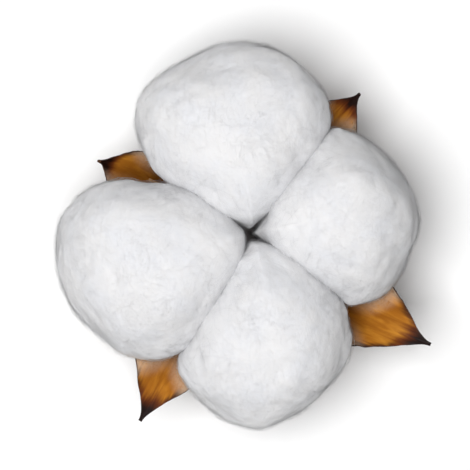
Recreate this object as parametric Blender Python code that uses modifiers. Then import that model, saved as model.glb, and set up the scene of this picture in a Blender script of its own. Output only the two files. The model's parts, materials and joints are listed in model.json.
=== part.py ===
"""An open cotton boll, as picked: four locks of cotton in the dried bur that holds them, on its calyx.

The bur is the woody wall of the capsule. It has split into four pointed valves, joined in a shallow
bowl, and each valve carries on its middle line the thin wall that stood between two locks.
The boll stands on the calyx, where its stalk was cut off. Metres, +Z up, origin at the middle of
that flat spot. Everything is shaped about the Z axis first and then leaned a little.
"""

import math
from collections import namedtuple

import bmesh
import bpy
from mathutils import Vector, noise

MM = 0.001

# The valves of the bur, anticlockwise from above. length is along the middle line, from the centre of
# the bowl to the point. The valve bends outwards from turn_at, to tip_slope degrees at its point.
# half_widths are its own, past the bowl, clockwise and anticlockwise of the middle line, fullness is how
# far out it keeps them, and sweep turns its point sideways, in degrees.
Valve = namedtuple("Valve", "azimuth length turn_at tip_slope half_widths fullness sweep")
VALVES = (
    Valve(53.0, 39.2 * MM, 26.0 * MM, 20.0, (8.4 * MM, 8.8 * MM), 5.0, -1.8),
    Valve(148.5, 37.2 * MM, 25.0 * MM, 45.0, (4.7 * MM, 7.4 * MM), 6.5, 5.0),
    Valve(241.0, 46.0 * MM, 28.0 * MM, 4.0, (12.0 * MM, 7.6 * MM), 4.4, -1.0),
    Valve(324.0, 46.0 * MM, 29.0 * MM, 6.0, (7.4 * MM, 8.8 * MM), 5.0, 5.0),
)

# The locks, each between the valve of the same place in the list and the next one. reach is how far
# its middle stands from the axis. half_sizes are towards the axis, away from it, across and up. flats are
# the azimuths and the distances from its middle of where it pressed against the capsule.
Lock = namedtuple("Lock", "name azimuth reach height half_sizes flats seed")
LOCKS = (
    Lock("lock_back", 99.0, 19.5 * MM, 26.5 * MM,
         (27.0 * MM, 14.9 * MM, 19.4 * MM, 18.2 * MM),
         ((28.0, 19.5 * MM), (122.0, 16.6 * MM), (214.0, 18.2 * MM)), 3.0),
    Lock("lock_left", 197.8, 19.2 * MM, 27.0 * MM,
         (27.0 * MM, 16.0 * MM, 18.4 * MM, 18.9 * MM),
         ((84.0, 16.3 * MM), (222.0, 15.7 * MM), (272.0, 18.8 * MM)), 11.0),
    Lock("lock_front", 276.5, 19.0 * MM, 26.8 * MM,
         (27.0 * MM, 15.2 * MM, 16.4 * MM, 18.4 * MM), ((315.0, 14.8 * MM),), 23.0),
    Lock("lock_right", 13.0, 15.7 * MM, 26.6 * MM,
         (23.5 * MM, 14.4 * MM, 17.2 * MM, 17.8 * MM), ((47.0, 14.4 * MM),), 37.0),
)

BUR_WALL = 1.0 * MM
WEB_WALL = 0.8 * MM
CALYX_WALL = 0.9 * MM
TOUCH_GAP = 0.3 * MM
FLOOR_OF_CALYX = 1.4 * MM
BOWL_FLOOR = FLOOR_OF_CALYX + TOUCH_GAP + BUR_WALL

# The boll leans: each point moves sideways by this share of its height.
LEAN = Vector((0.078, 0.027))

# The middle line of a valve climbs from level to RISE_SLOPE degrees over the first RISE_LENGTH.
RISE_SLOPE = 52.0
RISE_LENGTH = 21.0 * MM
BOWL_HOLE = 1.6 * MM
HOLE_RIM = 1.5 * BOWL_HOLE
SPLIT_AT = 13.5 * MM
BOWL_ROWS = 5
VALVE_ROWS = 14
ROW_CROWDING = 0.35
HALF_COLUMNS = 5
STEP = 0.1 * MM
MERGE_DISTANCE = 0.02 * MM

# Shape of a valve past the bowl. A share is a share of its length from the split to the point.
POINT_DRAW = 2.2
JOIN_SHARE = 0.3
GROW_SHARE = 0.1
POINT_HALF = 0.55 * MM
POINT_FOLD = 11.0 * MM
KEEL = 0.16
EDGE_CURL = 0.9 * MM
CURL_SHARE = 0.5
EDGE_POWER = 6
WRINKLE = 0.35 * MM
WRINKLE_SIZE = 9.0 * MM

# The thin walls between the locks, in the plane of each valve's middle line.
WEB_INNER = 2.6 * MM
WEB_TOP = 21.5 * MM
WEB_SHOULDER = 9.0 * MM
WEB_END_SHARE = 0.66
WEB_SLOPE_SHARE = 0.45
WEB_SINK = 0.5 * MM
WEB_STEPS = 12

# Cotton: how square the locks press against each other, at their sides and at their tops, and how
# softly they are flattened, as powers. Their hollows take in all but the highest of a noise.
SQUASH_SIDE = 5.5
SQUASH_TOP = 36.0
FLATTEN = 6.0
LOCK_COLUMNS = 42
LOCK_RINGS = 28
HOLLOW = 1.5 * MM
HOLLOW_SIZE = 15.0 * MM
HOLLOW_FROM = 0.35
CUT_DEPTH = 11.0 * MM

CALYX_REACH = 10.2 * MM
CALYX_STEPS = 40
CALYX_ROWS = 7
CALYX_TEETH = 5
CALYX_TOOTH = 2.6 * MM
TOOTH_POWER = 1.5
CALYX_EDGE_WALL = 0.6 * MM
STALK_RADIUS = 2.4 * MM
STALK_GROOVE = 0.9 * MM
GROOVE_DEPTH = 0.5 * MM
REST_RADIUS = 6.6 * MM

BUR_COLOUR = (0.30, 0.12, 0.04)
CALYX_COLOUR = (0.27, 0.16, 0.08)
COTTON_COLOUR = (0.85, 0.85, 0.86)
SHARP_ANGLE = 50.0


def clear_scene():
    for obj in list(bpy.data.objects):
        bpy.data.objects.remove(obj, do_unlink=True)


def collection(name):
    made = bpy.data.collections.new(name)
    bpy.context.scene.collection.children.link(made)
    return made


def material(name, colour, roughness):
    made = bpy.data.materials.new(name)
    made.use_nodes = True
    shader = made.node_tree.nodes["Principled BSDF"]
    shader.inputs["Base Color"].default_value = (*colour, 1.0)
    shader.inputs["Roughness"].default_value = roughness
    shader.inputs["Metallic"].default_value = 0.0
    return made


def smooth(low, high, x):
    t = min(max((x - low) / (high - low), 0.0), 1.0)
    return t * t * (3.0 - 2.0 * t)


def mix(a, b, t):
    return a + (b - a) * t


def leaned(point):
    return Vector((point.x + LEAN.x * point.z, point.y + LEAN.y * point.z, point.z))


def object_from(bm, name, into):
    """A mesh object of a bmesh shaped about the Z axis, leaned as the whole boll leans."""
    for vertex in bm.verts:
        vertex.co = leaned(vertex.co)
    mesh = bpy.data.meshes.new(name)
    bm.to_mesh(mesh)
    bm.free()
    obj = bpy.data.objects.new(name, mesh)
    into.objects.link(obj)
    return obj


def apply_modifiers(obj):
    graph = bpy.context.evaluated_depsgraph_get()
    mesh = bpy.data.meshes.new_from_object(obj.evaluated_get(graph))
    obj.modifiers.clear()
    obj.data = mesh


def slope_at(valve, s):
    """Slope of a valve's middle line at the distance s from the centre of the bowl, in radians."""
    climbed = RISE_SLOPE * smooth(0.0, RISE_LENGTH, s)
    return math.radians(mix(climbed, valve.tip_slope, smooth(valve.turn_at, valve.length, s)))


def middle_line(valve, s):
    """(distance from the axis, height, slope) on the middle line at the distance s along it."""
    steps = max(1, round(s / STEP))
    ds = s / steps
    r, z = 0.0, BOWL_FLOOR
    for k in range(steps):
        slope = slope_at(valve, (k + 0.5) * ds)
        r += math.cos(slope) * ds
        z += math.sin(slope) * ds
    return r, z, slope_at(valve, s)


def half_angle(index, side):
    """Half the angle from a valve to its neighbour on that side, in radians."""
    here = VALVES[index].azimuth
    there = VALVES[(index + side) % len(VALVES)].azimuth
    return math.radians(((there - here) * side) % 360.0) / 2.0


def valve_point(index, s, across, grow):
    """A point of the inner face of the bur. across runs from -1 to 1, from one edge to the other.

    Up to the split the bur is a bowl turned about the axis. Past it each valve narrows, folds along
    its middle line like a boat, and curls outwards at its edges. grow widens and lengthens it.
    """
    valve = VALVES[index]
    side = 1 if across > 0 else -1
    r, z, slope = middle_line(valve, s)
    angle = abs(across) * half_angle(index, side)
    split = SPLIT_AT + grow
    share = min(max((s - split) / (valve.length + grow - split), 0.0), 1.0)
    if share > 0.0:
        r_split = middle_line(valve, split)[0]
        free_half = valve.half_widths[side > 0]
        own = mix(r_split * half_angle(index, side), free_half, smooth(0.0, JOIN_SHARE, share))
        half = own * (1.0 - share**valve.fullness) ** POINT_DRAW + POINT_HALF + grow * smooth(0.0, GROW_SHARE, share)
        width = abs(across) * half
        angle = width / r
    round_point = Vector((r * math.cos(angle), r * math.sin(angle), z))
    if share > 0.0:
        fold = mix(r_split / math.sin(slope_at(valve, split)), POINT_FOLD, share)
        lift = fold * (1.0 - math.cos(width / fold)) + KEEL * share * width
        lift -= EDGE_CURL * smooth(0.0, CURL_SHARE, share) * (1.0 - share) * abs(across) ** EDGE_POWER
        boat_point = Vector((
            r - math.sin(slope) * lift,
            fold * math.sin(width / fold),
            z + math.cos(slope) * lift,
        ))
        point = round_point.lerp(boat_point, smooth(0.0, JOIN_SHARE, share))
    else:
        point = round_point
    turn = math.radians(valve.azimuth + valve.sweep * share * share)
    x, y = point.x, point.y * side
    placed = Vector((
        x * math.cos(turn) - y * math.sin(turn),
        x * math.sin(turn) + y * math.cos(turn),
        point.z,
    ))
    fade = smooth(SPLIT_AT, 2.0 * SPLIT_AT, s)
    placed.z += WRINKLE * fade * noise.noise(placed / WRINKLE_SIZE)
    return placed


def bur_rows(valve, grow):
    """Distances along a valve of the rows of its grid, closer together towards the point."""
    split = SPLIT_AT + grow
    end = valve.length + grow
    rows = [mix(BOWL_HOLE, split, k / BOWL_ROWS) for k in range(BOWL_ROWS)]
    for k in range(VALVE_ROWS + 1):
        t = k / VALVE_ROWS
        rows.append(mix(split, end, t * (1.0 + ROW_CROWDING * (1.0 - t))))
    return rows


def bur_face(name, into, grow=0.0):
    """The inner face of the whole bur as an open surface: a grid a valve, joined in the bowl."""
    bm = bmesh.new()
    columns = 2 * HALF_COLUMNS
    for index, valve in enumerate(VALVES):
        rows = bur_rows(valve, grow)
        made = bmesh.ops.create_grid(bm, x_segments=columns, y_segments=len(rows) - 1, size=0.5)
        for vertex in made["verts"]:
            across = 2.0 * vertex.co.x
            row = round((vertex.co.y + 0.5) * (len(rows) - 1))
            vertex.co = valve_point(index, rows[row], across, grow)
    bmesh.ops.remove_doubles(bm, verts=bm.verts, dist=MERGE_DISTANCE)
    rim = [e for e in bm.edges if e.is_boundary
           and all(v.co.xy.length < HOLE_RIM for v in e.verts)]
    bmesh.ops.holes_fill(bm, edges=rim, sides=0)
    bmesh.ops.recalc_face_normals(bm, faces=bm.faces)
    if sum(face.normal.z for face in bm.faces) < 0.0:
        bmesh.ops.reverse_faces(bm, faces=bm.faces)
    return object_from(bm, name, into)


def thicken(obj, inside, outside, even=True):
    """Gives the face of the bur a wall that reaches inside above it and outside below it."""
    solid = obj.modifiers.new("wall", "SOLIDIFY")
    solid.thickness = inside + outside
    solid.offset = 2.0 * inside / (inside + outside) - 1.0
    solid.use_even_offset = even
    return obj


def web(index, name, into, wall, grow=0.0):
    """The thin wall on a valve's middle line: a flat outline in that plane, with a foot in the valve."""
    valve = VALVES[index]
    end = WEB_END_SHARE * valve.length + grow
    foot = []
    for k in range(WEB_STEPS + 1):
        s = mix(WEB_INNER - grow, end, k / WEB_STEPS)
        r, z, slope = middle_line(valve, s)
        foot.append((r + math.sin(slope) * WEB_SINK, z - math.cos(slope) * WEB_SINK))
    tip_r, tip_z = foot[-1]
    top = []
    for k in range(1, WEB_STEPS):
        t = k / WEB_STEPS
        r = mix(tip_r, WEB_INNER - grow, t)
        rise = smooth(0.0, WEB_SLOPE_SHARE, t) * smooth(WEB_INNER - grow, WEB_SHOULDER, r)
        floor = mix(tip_z, BOWL_FLOOR + WEB_SHOULDER, t)
        top.append((r, mix(floor, WEB_TOP + grow, rise)))
    outline = foot + top
    bm = bmesh.new()
    turn = math.radians(valve.azimuth)
    normal = Vector((-math.sin(turn), math.cos(turn), 0.0))
    ring = []
    for r, z in outline:
        middle = Vector((r * math.cos(turn), r * math.sin(turn), z))
        ring.append(bm.verts.new(middle - normal * wall / 2.0))
    face = bm.faces.new(ring)
    thick = bmesh.ops.extrude_face_region(bm, geom=[face])
    moved = [item for item in thick["geom"] if isinstance(item, bmesh.types.BMVert)]
    bmesh.ops.translate(bm, verts=moved, vec=normal * wall)
    bmesh.ops.recalc_face_normals(bm, faces=bm.faces)
    if bm.calc_volume(signed=True) < 0.0:
        bmesh.ops.reverse_faces(bm, faces=bm.faces)
    return object_from(bm, name, into)


def combine(obj, others, operation):
    """One Boolean of the object with every object of a collection, applied."""
    joint = obj.modifiers.new("combine", "BOOLEAN")
    joint.operation = operation
    joint.operand_type = "COLLECTION"
    joint.collection = others
    joint.solver = "EXACT"
    bpy.context.view_layer.update()
    apply_modifiers(obj)


def remove_all(others):
    for obj in list(others.objects):
        bpy.data.objects.remove(obj, do_unlink=True)
    bpy.data.collections.remove(others)


def make_bur(into):
    """The bur: a bowl that splits into four valves, with a thin wall standing on each."""
    bur = thicken(bur_face("bur", into), 0.0, BUR_WALL)
    bpy.context.view_layer.update()
    apply_modifiers(bur)
    webs = collection("webs")
    for index in range(len(VALVES)):
        web(index, f"web_{index}", webs, WEB_WALL)
    combine(bur, webs, "UNION")
    remove_all(webs)
    bur.data.materials.clear()
    bur.data.materials.append(material("bur", BUR_COLOUR, 0.6))
    return bur


def lock_face_normals(index):
    """Outward normals of the two upright planes that part a lock from its neighbours."""
    first = math.radians(VALVES[index].azimuth)
    second = math.radians(VALVES[(index + 1) % len(VALVES)].azimuth)
    return (
        Vector((math.sin(first), -math.cos(first), 0.0)),
        Vector((-math.sin(second), math.cos(second), 0.0)),
    )


def lock_radius(lock, centre, planes, direction):
    """How far a lock reaches from its middle, and how free of its neighbours it is there, up to 1.

    A lock is an egg that presses flat against the two beside it.
    """
    turn = math.radians(lock.azimuth)
    radial = Vector((math.cos(turn), math.sin(turn), 0.0))
    across = Vector((-math.sin(turn), math.cos(turn), 0.0))
    outward = direction.dot(radial)
    half_in, half_out, half_across, half_up = lock.half_sizes
    egg = math.sqrt(
        (outward / (half_out if outward > 0.0 else half_in)) ** 2
        + (direction.dot(across) / half_across) ** 2
        + (direction.z / half_up) ** 2
    )
    flattened = egg**FLATTEN
    for azimuth, flat_reach in lock.flats:
        ahead = direction.x * math.cos(math.radians(azimuth)) + direction.y * math.sin(math.radians(azimuth))
        flattened += (max(0.0, ahead) / flat_reach) ** FLATTEN
    free = flattened ** (1.0 / FLATTEN)
    pressed = [
        max(0.0, direction.dot(normal)) / (-centre.dot(normal) - TOUCH_GAP / 2.0)
        for normal in planes
    ]
    squash = mix(SQUASH_SIDE, SQUASH_TOP, smooth(0.0, 1.0, direction.z))
    total = free**squash + sum(share**squash for share in pressed)
    side_total = free**SQUASH_SIDE + sum(share**SQUASH_SIDE for share in pressed)
    return total ** (-1.0 / squash), max(0.0, 2.0 * free**SQUASH_SIDE / side_total - 1.0)


def make_lock(index, into, cutters):
    """One lock of cotton, cut where the bur holds it."""
    lock = LOCKS[index]
    turn = math.radians(lock.azimuth)
    centre = Vector((lock.reach * math.cos(turn), lock.reach * math.sin(turn), lock.height))
    planes = lock_face_normals(index)
    bm = bmesh.new()
    bmesh.ops.create_uvsphere(bm, u_segments=LOCK_COLUMNS, v_segments=LOCK_RINGS, radius=1.0)
    offset = Vector((lock.seed, 2.0 * lock.seed, 0.0))
    for vertex in bm.verts:
        direction = vertex.co.normalized()
        reach, free = lock_radius(lock, centre, planes, direction)
        spot = (centre + direction * reach) / HOLLOW_SIZE + offset
        hollow = max(0.0, HOLLOW * free * (HOLLOW_FROM - noise.noise(spot)))
        vertex.co = centre + direction * (reach - hollow)
    obj = object_from(bm, lock.name, into)
    combine(obj, cutters, "DIFFERENCE")
    obj.data.materials.clear()
    return obj


def make_cutters():
    """What the cotton can't fill: the bur with a small gap all round, and what is under it."""
    cutters = collection("cutters")
    thicken(bur_face("cut_bur", cutters, TOUCH_GAP), TOUCH_GAP, CUT_DEPTH, even=False)
    for index in range(len(VALVES)):
        web(index, f"cut_web_{index}", cutters, WEB_WALL + 2.0 * TOUCH_GAP, TOUCH_GAP)
    for obj in cutters.objects:
        obj.hide_render = True
        obj.display_type = "WIRE"
    return cutters


def calyx_profile(reach):
    """Section of the calyx, from the top of its middle out to its edge and back along the underside."""
    valve = VALVES[0]
    inner, outer = [], []
    for k in range(CALYX_ROWS + 1):
        share = k / CALYX_ROWS
        r, z, slope = middle_line(valve, reach * share)
        near = BUR_WALL + TOUCH_GAP
        far = near + mix(CALYX_WALL, CALYX_EDGE_WALL, share)
        inner.append((r + math.sin(slope) * near, z - math.cos(slope) * near))
        outer.append((r + math.sin(slope) * far, z - math.cos(slope) * far))
    groove_side = STALK_GROOVE / 4.0
    rest = [
        (REST_RADIUS, 0.0),
        (STALK_RADIUS + STALK_GROOVE, 0.0),
        (STALK_RADIUS + STALK_GROOVE - groove_side, GROOVE_DEPTH),
        (STALK_RADIUS + groove_side, GROOVE_DEPTH),
        (STALK_RADIUS, 0.0),
    ]
    return inner[1:] + outer[:CALYX_ROWS // 2:-1] + rest, inner[0][1]


def make_calyx(into):
    """The calyx: a five-toothed cup under the bur, with the cut end of the stalk in its underside."""
    bm = bmesh.new()
    rings = []
    for step in range(CALYX_STEPS):
        turn = 2.0 * math.pi * step / CALYX_STEPS
        tooth = abs(math.cos(0.5 * CALYX_TEETH * turn)) ** TOOTH_POWER
        profile, top = calyx_profile(CALYX_REACH + CALYX_TOOTH * tooth)
        rings.append([bm.verts.new((r * math.cos(turn), r * math.sin(turn), z)) for r, z in profile])
    middle_top = bm.verts.new((0.0, 0.0, top))
    middle_end = bm.verts.new((0.0, 0.0, 0.0))
    for step, ring in enumerate(rings):
        after = rings[(step + 1) % CALYX_STEPS]
        for k in range(len(ring) - 1):
            bm.faces.new((ring[k], ring[k + 1], after[k + 1], after[k]))
        bm.faces.new((middle_top, ring[0], after[0]))
        bm.faces.new((middle_end, after[-1], ring[-1]))
    bmesh.ops.recalc_face_normals(bm, faces=bm.faces)
    obj = object_from(bm, "calyx", into)
    obj.data.materials.append(material("calyx", CALYX_COLOUR, 0.75))
    return obj


def main():
    clear_scene()
    boll = collection("cotton_boll")
    bur = make_bur(boll)
    make_calyx(boll)
    cutters = make_cutters()
    cotton = material("cotton", COTTON_COLOUR, 0.95)
    for index in range(len(LOCKS)):
        make_lock(index, boll, cutters).data.materials.append(cotton)
    for obj in boll.objects:
        obj.data.shade_smooth()
        obj.data.set_sharp_from_angle(angle=math.radians(SHARP_ANGLE))


main()
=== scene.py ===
"""The looks of an open cotton boll: fluffy locks of cotton in a dry, papery bur, seen from above.

Each CAD node is replaced by finer pieces of the same form. The cotton starts from the node's own
mesh. The bur and the calyx are drawn again from the dimensions that the CAD was made with.
"""

import json
import math
from collections import namedtuple

import bmesh
import bpy
import numpy as np
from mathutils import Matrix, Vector, noise
from mathutils.bvhtree import BVHTree

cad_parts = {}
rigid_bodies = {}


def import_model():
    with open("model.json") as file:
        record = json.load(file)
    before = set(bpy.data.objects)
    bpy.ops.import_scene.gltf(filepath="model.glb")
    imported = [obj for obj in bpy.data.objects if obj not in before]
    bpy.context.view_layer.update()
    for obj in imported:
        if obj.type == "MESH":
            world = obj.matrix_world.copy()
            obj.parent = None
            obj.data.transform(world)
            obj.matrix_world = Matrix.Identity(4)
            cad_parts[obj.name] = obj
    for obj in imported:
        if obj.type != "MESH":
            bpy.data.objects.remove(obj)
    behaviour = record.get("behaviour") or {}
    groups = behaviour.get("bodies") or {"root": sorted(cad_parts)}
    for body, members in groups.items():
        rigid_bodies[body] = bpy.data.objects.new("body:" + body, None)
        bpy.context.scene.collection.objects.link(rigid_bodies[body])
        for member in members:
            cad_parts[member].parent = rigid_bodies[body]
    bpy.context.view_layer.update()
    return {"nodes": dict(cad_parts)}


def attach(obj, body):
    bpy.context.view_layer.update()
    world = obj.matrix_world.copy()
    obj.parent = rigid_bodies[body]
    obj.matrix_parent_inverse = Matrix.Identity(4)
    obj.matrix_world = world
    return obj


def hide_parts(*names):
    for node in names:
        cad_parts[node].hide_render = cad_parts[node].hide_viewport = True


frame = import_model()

MM = 0.001
BODY = "root"
NOISE_SEED = 5

# The bur, as in the CAD. Azimuths and slopes are in degrees, the rest in metres, shares and powers.
Valve = namedtuple("Valve", "azimuth length turn_at tip_slope half_widths fullness sweep")
VALVES = (
    Valve(53.0, 39.2 * MM, 26.0 * MM, 20.0, (8.4 * MM, 8.8 * MM), 5.0, -1.8),
    Valve(148.5, 37.2 * MM, 25.0 * MM, 45.0, (4.7 * MM, 7.4 * MM), 6.5, 5.0),
    Valve(241.0, 46.0 * MM, 28.0 * MM, 4.0, (12.0 * MM, 7.6 * MM), 4.4, -1.0),
    Valve(324.0, 46.0 * MM, 29.0 * MM, 6.0, (7.4 * MM, 8.8 * MM), 5.0, 5.0),
)
LEAN = (0.078, 0.027)
BUR_WALL = 1.0 * MM
TOUCH_GAP = 0.3 * MM
FLOOR_OF_CALYX = 1.4 * MM
BOWL_FLOOR = FLOOR_OF_CALYX + TOUCH_GAP + BUR_WALL
RISE_SLOPE = 52.0
RISE_LENGTH = 21.0 * MM
BOWL_HOLE = 1.6 * MM
SPLIT_AT = 13.5 * MM
POINT_DRAW = 2.2
JOIN_SHARE = 0.3
POINT_HALF = 0.55 * MM
POINT_FOLD = 11.0 * MM
KEEL = 0.16
EDGE_CURL = 0.9 * MM
CURL_SHARE = 0.5
EDGE_POWER = 6
WRINKLE = 0.35 * MM
WRINKLE_SIZE = 9.0 * MM
STEP = 0.1 * MM

# Finer than the CAD: the bur's grid, its points, its ragged papery edge and the relief of both faces.
BOWL_ROWS = 14
VALVE_ROWS = 70
HALF_COLUMNS = 16
FREE_SHARE = 0.15
POINT_END = 0.32 * MM
POINT_TAPER = (0.9, 1.0)
PAPER_SHARE = 0.45
PAPER_FROM = 0.2
RAGGED = 0.05
RAGGED_SIZE = 2.2 * MM
RAGGED_FROM = 0.5
RAGGED_FULL_AT = 1.3 * SPLIT_AT
RAGGED_MEAN = 0.6
VEIN = 0.30 * MM
VEIN_SIZE = (2.3 * MM, 16.0 * MM)
RELIEF_FULL_AT = 2.0 * SPLIT_AT
RIDGE = 0.16 * MM
RIDGE_GRAIN = (0.8, 0.12)
WELD = 0.01 * MM
RIM_REACH = 1.5 * BOWL_HOLE
BUR_SHARP_ANGLE = 55.0

# What the bur's colours go by: how far apart the patterns of two valves lie, in mm, the distance from
# the edge that the closed bowl is given, and the length in mm that a valve's free part is taken to have.
PATTERNS_APART = 10.0
FAR_FROM_EDGE = 10.0 * MM
POINT_SCALE = 31.0

# The thin walls between the locks.
WEB_WALL = 0.5 * MM
WEB_INNER = 2.6 * MM
WEB_TOP = 21.5 * MM
WEB_SHOULDER = 9.0 * MM
WEB_END_SHARE = 0.66
WEB_SLOPE_SHARE = 0.45
WEB_SINK_FROM = 0.7
WEB_STEPS = 60
WEB_ROWS = 6

# Cotton. A lock swells a little, and more towards its neighbours, so that their cotton meets in a soft
# valley. That fades towards the boll's axis, where a dimple stays open above a plug of cotton. Each seed
# has its own soft tuft.
VOXEL = 0.45 * MM
SMOOTH_FACTOR = 0.5
SMOOTH_STEPS = 20
SWELL = 0.12 * MM
SEAM_SWELL = 0.75 * MM
SEAM_WIDTH = 2.4 * MM
SEAM_REACH = (2.4 * MM, 6.0 * MM)
VALLEY = 2.8 * MM
VALLEY_WIDTH = 8.0 * MM
VALLEY_HEIGHTS = (22.0 * MM, 40.0 * MM)
PLUG = 2.0 * MM
PLUG_REACH = (1.0 * MM, 4.0 * MM)
PLUG_HEIGHTS = (24.0 * MM, 34.0 * MM)
SEED_SHIFT = (7.0, 3.0, 5.0)
TUFT = 0.22 * MM
TUFT_SIZE = 8.5 * MM
TUFT_EDGE = 0.45
TUFT_DRIFT = 0.25
PUFF = 0.42 * MM
PUFF_SIZE = 6.5 * MM
PUFF_TOP = 0.25
WISP = 0.06 * MM
WISP_SIZE = 1.6 * MM
WISP_DRIFT = 1.5
GRAIN_APART = 60.0

# Where the cotton is browner next to the bur, partly from a real stain and partly from painted warm light
# bounced off the bur, or greyer along a seam in painted shade, and where lint and white down cling to the
# bur.
STAIN_AND_BOUNCE = 0.75
STAIN_AND_BOUNCE_WIDTH = 4.5 * MM
STAIN_AND_BOUNCE_FLATTEN = 0.5
SHADE = 0.5
SHADE_WIDTH = 4.5 * MM
LINT = 0.65
LINT_WIDTH = (0.8 * MM, 3.6 * MM)
DOWN = 0.9
DOWN_REACH = (5.0 * MM, 9.0 * MM)

# Loose fibres on the cotton: how many a lock, the shape of one, and the air that one needs.
FIBRES = 6800
FIBRE_POINTS = 5
FIBRE_SIDES = 3
FIBRE_LENGTH = (2.0 * MM, 6.5 * MM)
FIBRE_LIFT = (0.08 * MM, 0.8 * MM)
FIBRE_STRAY = 0.35
FIBRE_BEND = 0.35
FIBRE_WAVE = 0.09
FIBRE_TURNS = (0.4, 1.1)
FIBRE_RADIUS = 0.016 * MM
FIBRE_TIP_SHARE = 0.35
FIBRE_ROOT = 0.08 * MM
FIBRE_OWN_SHADE = 0.25
SWIRL_SIZE = 9.0 * MM
CLEAR_OF_BUR = 1.2 * MM
AIR_FROM = 0.5 * MM
AIR_TO = 4.0 * MM
# Kinds of fibre: clean, greyed by painted shade, and browned partly by a real stain and partly by painted
# bounce light from the bur.
CLEAN, SHADED, STAINED_AND_BOUNCE_LIT = 0, 1, 2

CALYX_WALL = 0.9 * MM
CALYX_EDGE_WALL = 0.6 * MM
CALYX_REACH = 10.2 * MM
CALYX_STEPS = 160
CALYX_ROWS = 18
CALYX_TEETH = 5
CALYX_TOOTH = 2.6 * MM
TOOTH_POWER = 1.5
CALYX_RAGGED = 0.35 * MM
CALYX_RAGGED_TURN = 4.0
CALYX_PATTERN_AT = 50.0
CALYX_DEGREES_PER_MM = 8.0
CALYX_SHARP_ANGLE = 45.0
STALK_RADIUS = 2.4 * MM
STALK_GROOVE = 0.9 * MM
STALK_FACES = 3
GROOVE_DEPTH = 0.5 * MM
REST_RADIUS = 6.6 * MM

COTTON_WHITE = (0.805, 0.80, 0.805)
COTTON_COOL = (0.78, 0.785, 0.81)
COTTON_IN_SHADE = (0.60, 0.60, 0.615)
# Tan of cotton browned next to the bur, partly a real stain and partly painted bounce light; also the colour
# of the lint on the bur.
COTTON_TAN = (0.66, 0.50, 0.36)
FIBRE_WHITE = (0.82, 0.82, 0.83)
FIBRE_IN_SHADE = (0.62, 0.62, 0.635)
# Fibres browned next to the bur: partly a real stain, partly painted warm light bounced off the bur.
FIBRE_STAIN_AND_BOUNCE = (0.70, 0.57, 0.45)
DOWN_WHITE = (0.74, 0.74, 0.75)
INNER_BROWN = (0.37, 0.130, 0.012)
INNER_GOLD = (0.53, 0.222, 0.026)
INNER_VEIN = (0.30, 0.101, 0.010)
INNER_MARGIN = (0.050, 0.016, 0.006)
INNER_RUST = (0.13, 0.030, 0.006)
INNER_POINT = (0.010, 0.003, 0.002)
WEB_BROWN = (0.36, 0.19, 0.07)
WEB_PALE = (0.55, 0.36, 0.18)
OUTER_FURROW = (0.055, 0.024, 0.014)
OUTER_RIDGE = (0.21, 0.10, 0.052)
OUTER_MOTTLE = (0.12, 0.062, 0.038)
OUTER_GLAND = (0.02, 0.009, 0.006)
OUTER_POINT = (0.025, 0.011, 0.008)
EDGE_DARK = (0.022, 0.010, 0.007)
EDGE_BROWN = (0.11, 0.045, 0.02)
CALYX_DARK = (0.10, 0.052, 0.028)
CALYX_PALE = (0.30, 0.19, 0.105)
CALYX_FLECK = (0.07, 0.035, 0.02)
CALYX_MARGIN = (0.06, 0.028, 0.016)
WOOD_DARK = (0.40, 0.27, 0.15)
WOOD_PALE = (0.60, 0.46, 0.29)
PITH = (0.72, 0.62, 0.46)
BARK = (0.06, 0.03, 0.018)
FLOOR_WHITE = (0.98, 0.98, 0.98)

# The camera looks straight down, and this much of the picture plane fills the frame.
VIEW_CENTRE = (-0.2 * MM, 0.6 * MM, 24.0 * MM)
VIEW_WIDTH = 82.0 * MM
LENS = 300.0
CLIP = (0.01, 20.0)

FLOOR_RADIUS = 6.0
FLOOR_SIDES = 96
SKY_STRENGTH = 0.07
LAMP_SIZE = 0.55
LAMP_POWER = 11.6
LAMP_PLACE = (-0.13, -0.05, 1.03)
LAMP_TARGET = (0.0, 0.0, 0.02)


def smooth(low, high, x):
    t = np.clip((x - low) / (high - low), 0.0, 1.0)
    return t * t * (3.0 - 2.0 * t)


def mix(a, b, t):
    return a + (b - a) * t


def unit(vectors):
    return vectors / np.linalg.norm(vectors, axis=-1, keepdims=True)


# Nodes of a material

def new_material(name, **shader):
    """A material with a Principled shader, its node tree and the shader."""
    made = bpy.data.materials.new(name)
    made.use_nodes = True
    principled = made.node_tree.nodes["Principled BSDF"]
    for socket, value in shader.items():
        principled.inputs[socket.replace("_", " ")].default_value = value
    return made, made.node_tree, principled


def feed(tree, socket, value):
    """Gives a socket a value or another node's output."""
    if isinstance(value, bpy.types.NodeSocket):
        tree.links.new(value, socket)
    else:
        socket.default_value = value


def add_node(tree, kind, inputs=(), **settings):
    """A shader node. Each of its inputs is a value or another node's output."""
    made = tree.nodes.new(kind)
    for name, value in settings.items():
        setattr(made, name, value)
    for name, value in dict(inputs).items():
        feed(tree, made.inputs[name], value)
    return made


def attribute(tree, name, output="Fac"):
    return add_node(tree, "ShaderNodeAttribute", attribute_name=name).outputs[output]


def noise_value(tree, vector, scale=1.0, detail=4.0, roughness=0.55, distortion=0.0):
    inputs = {
        "Vector": vector,
        "Scale": scale,
        "Detail": detail,
        "Roughness": roughness,
        "Distortion": distortion,
    }
    return add_node(tree, "ShaderNodeTexNoise", inputs).outputs["Fac"]


def ramp(tree, value, low, high):
    """0 where the value is below low, 1 where it is above high, smooth between."""
    inputs = {"Value": value, "From Min": low, "From Max": high}
    return add_node(tree, "ShaderNodeMapRange", inputs, interpolation_type="SMOOTHSTEP").outputs["Result"]


def calculate(tree, operation, first, second):
    made = add_node(tree, "ShaderNodeMath", operation=operation)
    feed(tree, made.inputs[0], first)
    feed(tree, made.inputs[1], second)
    return made.outputs["Value"]


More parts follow.
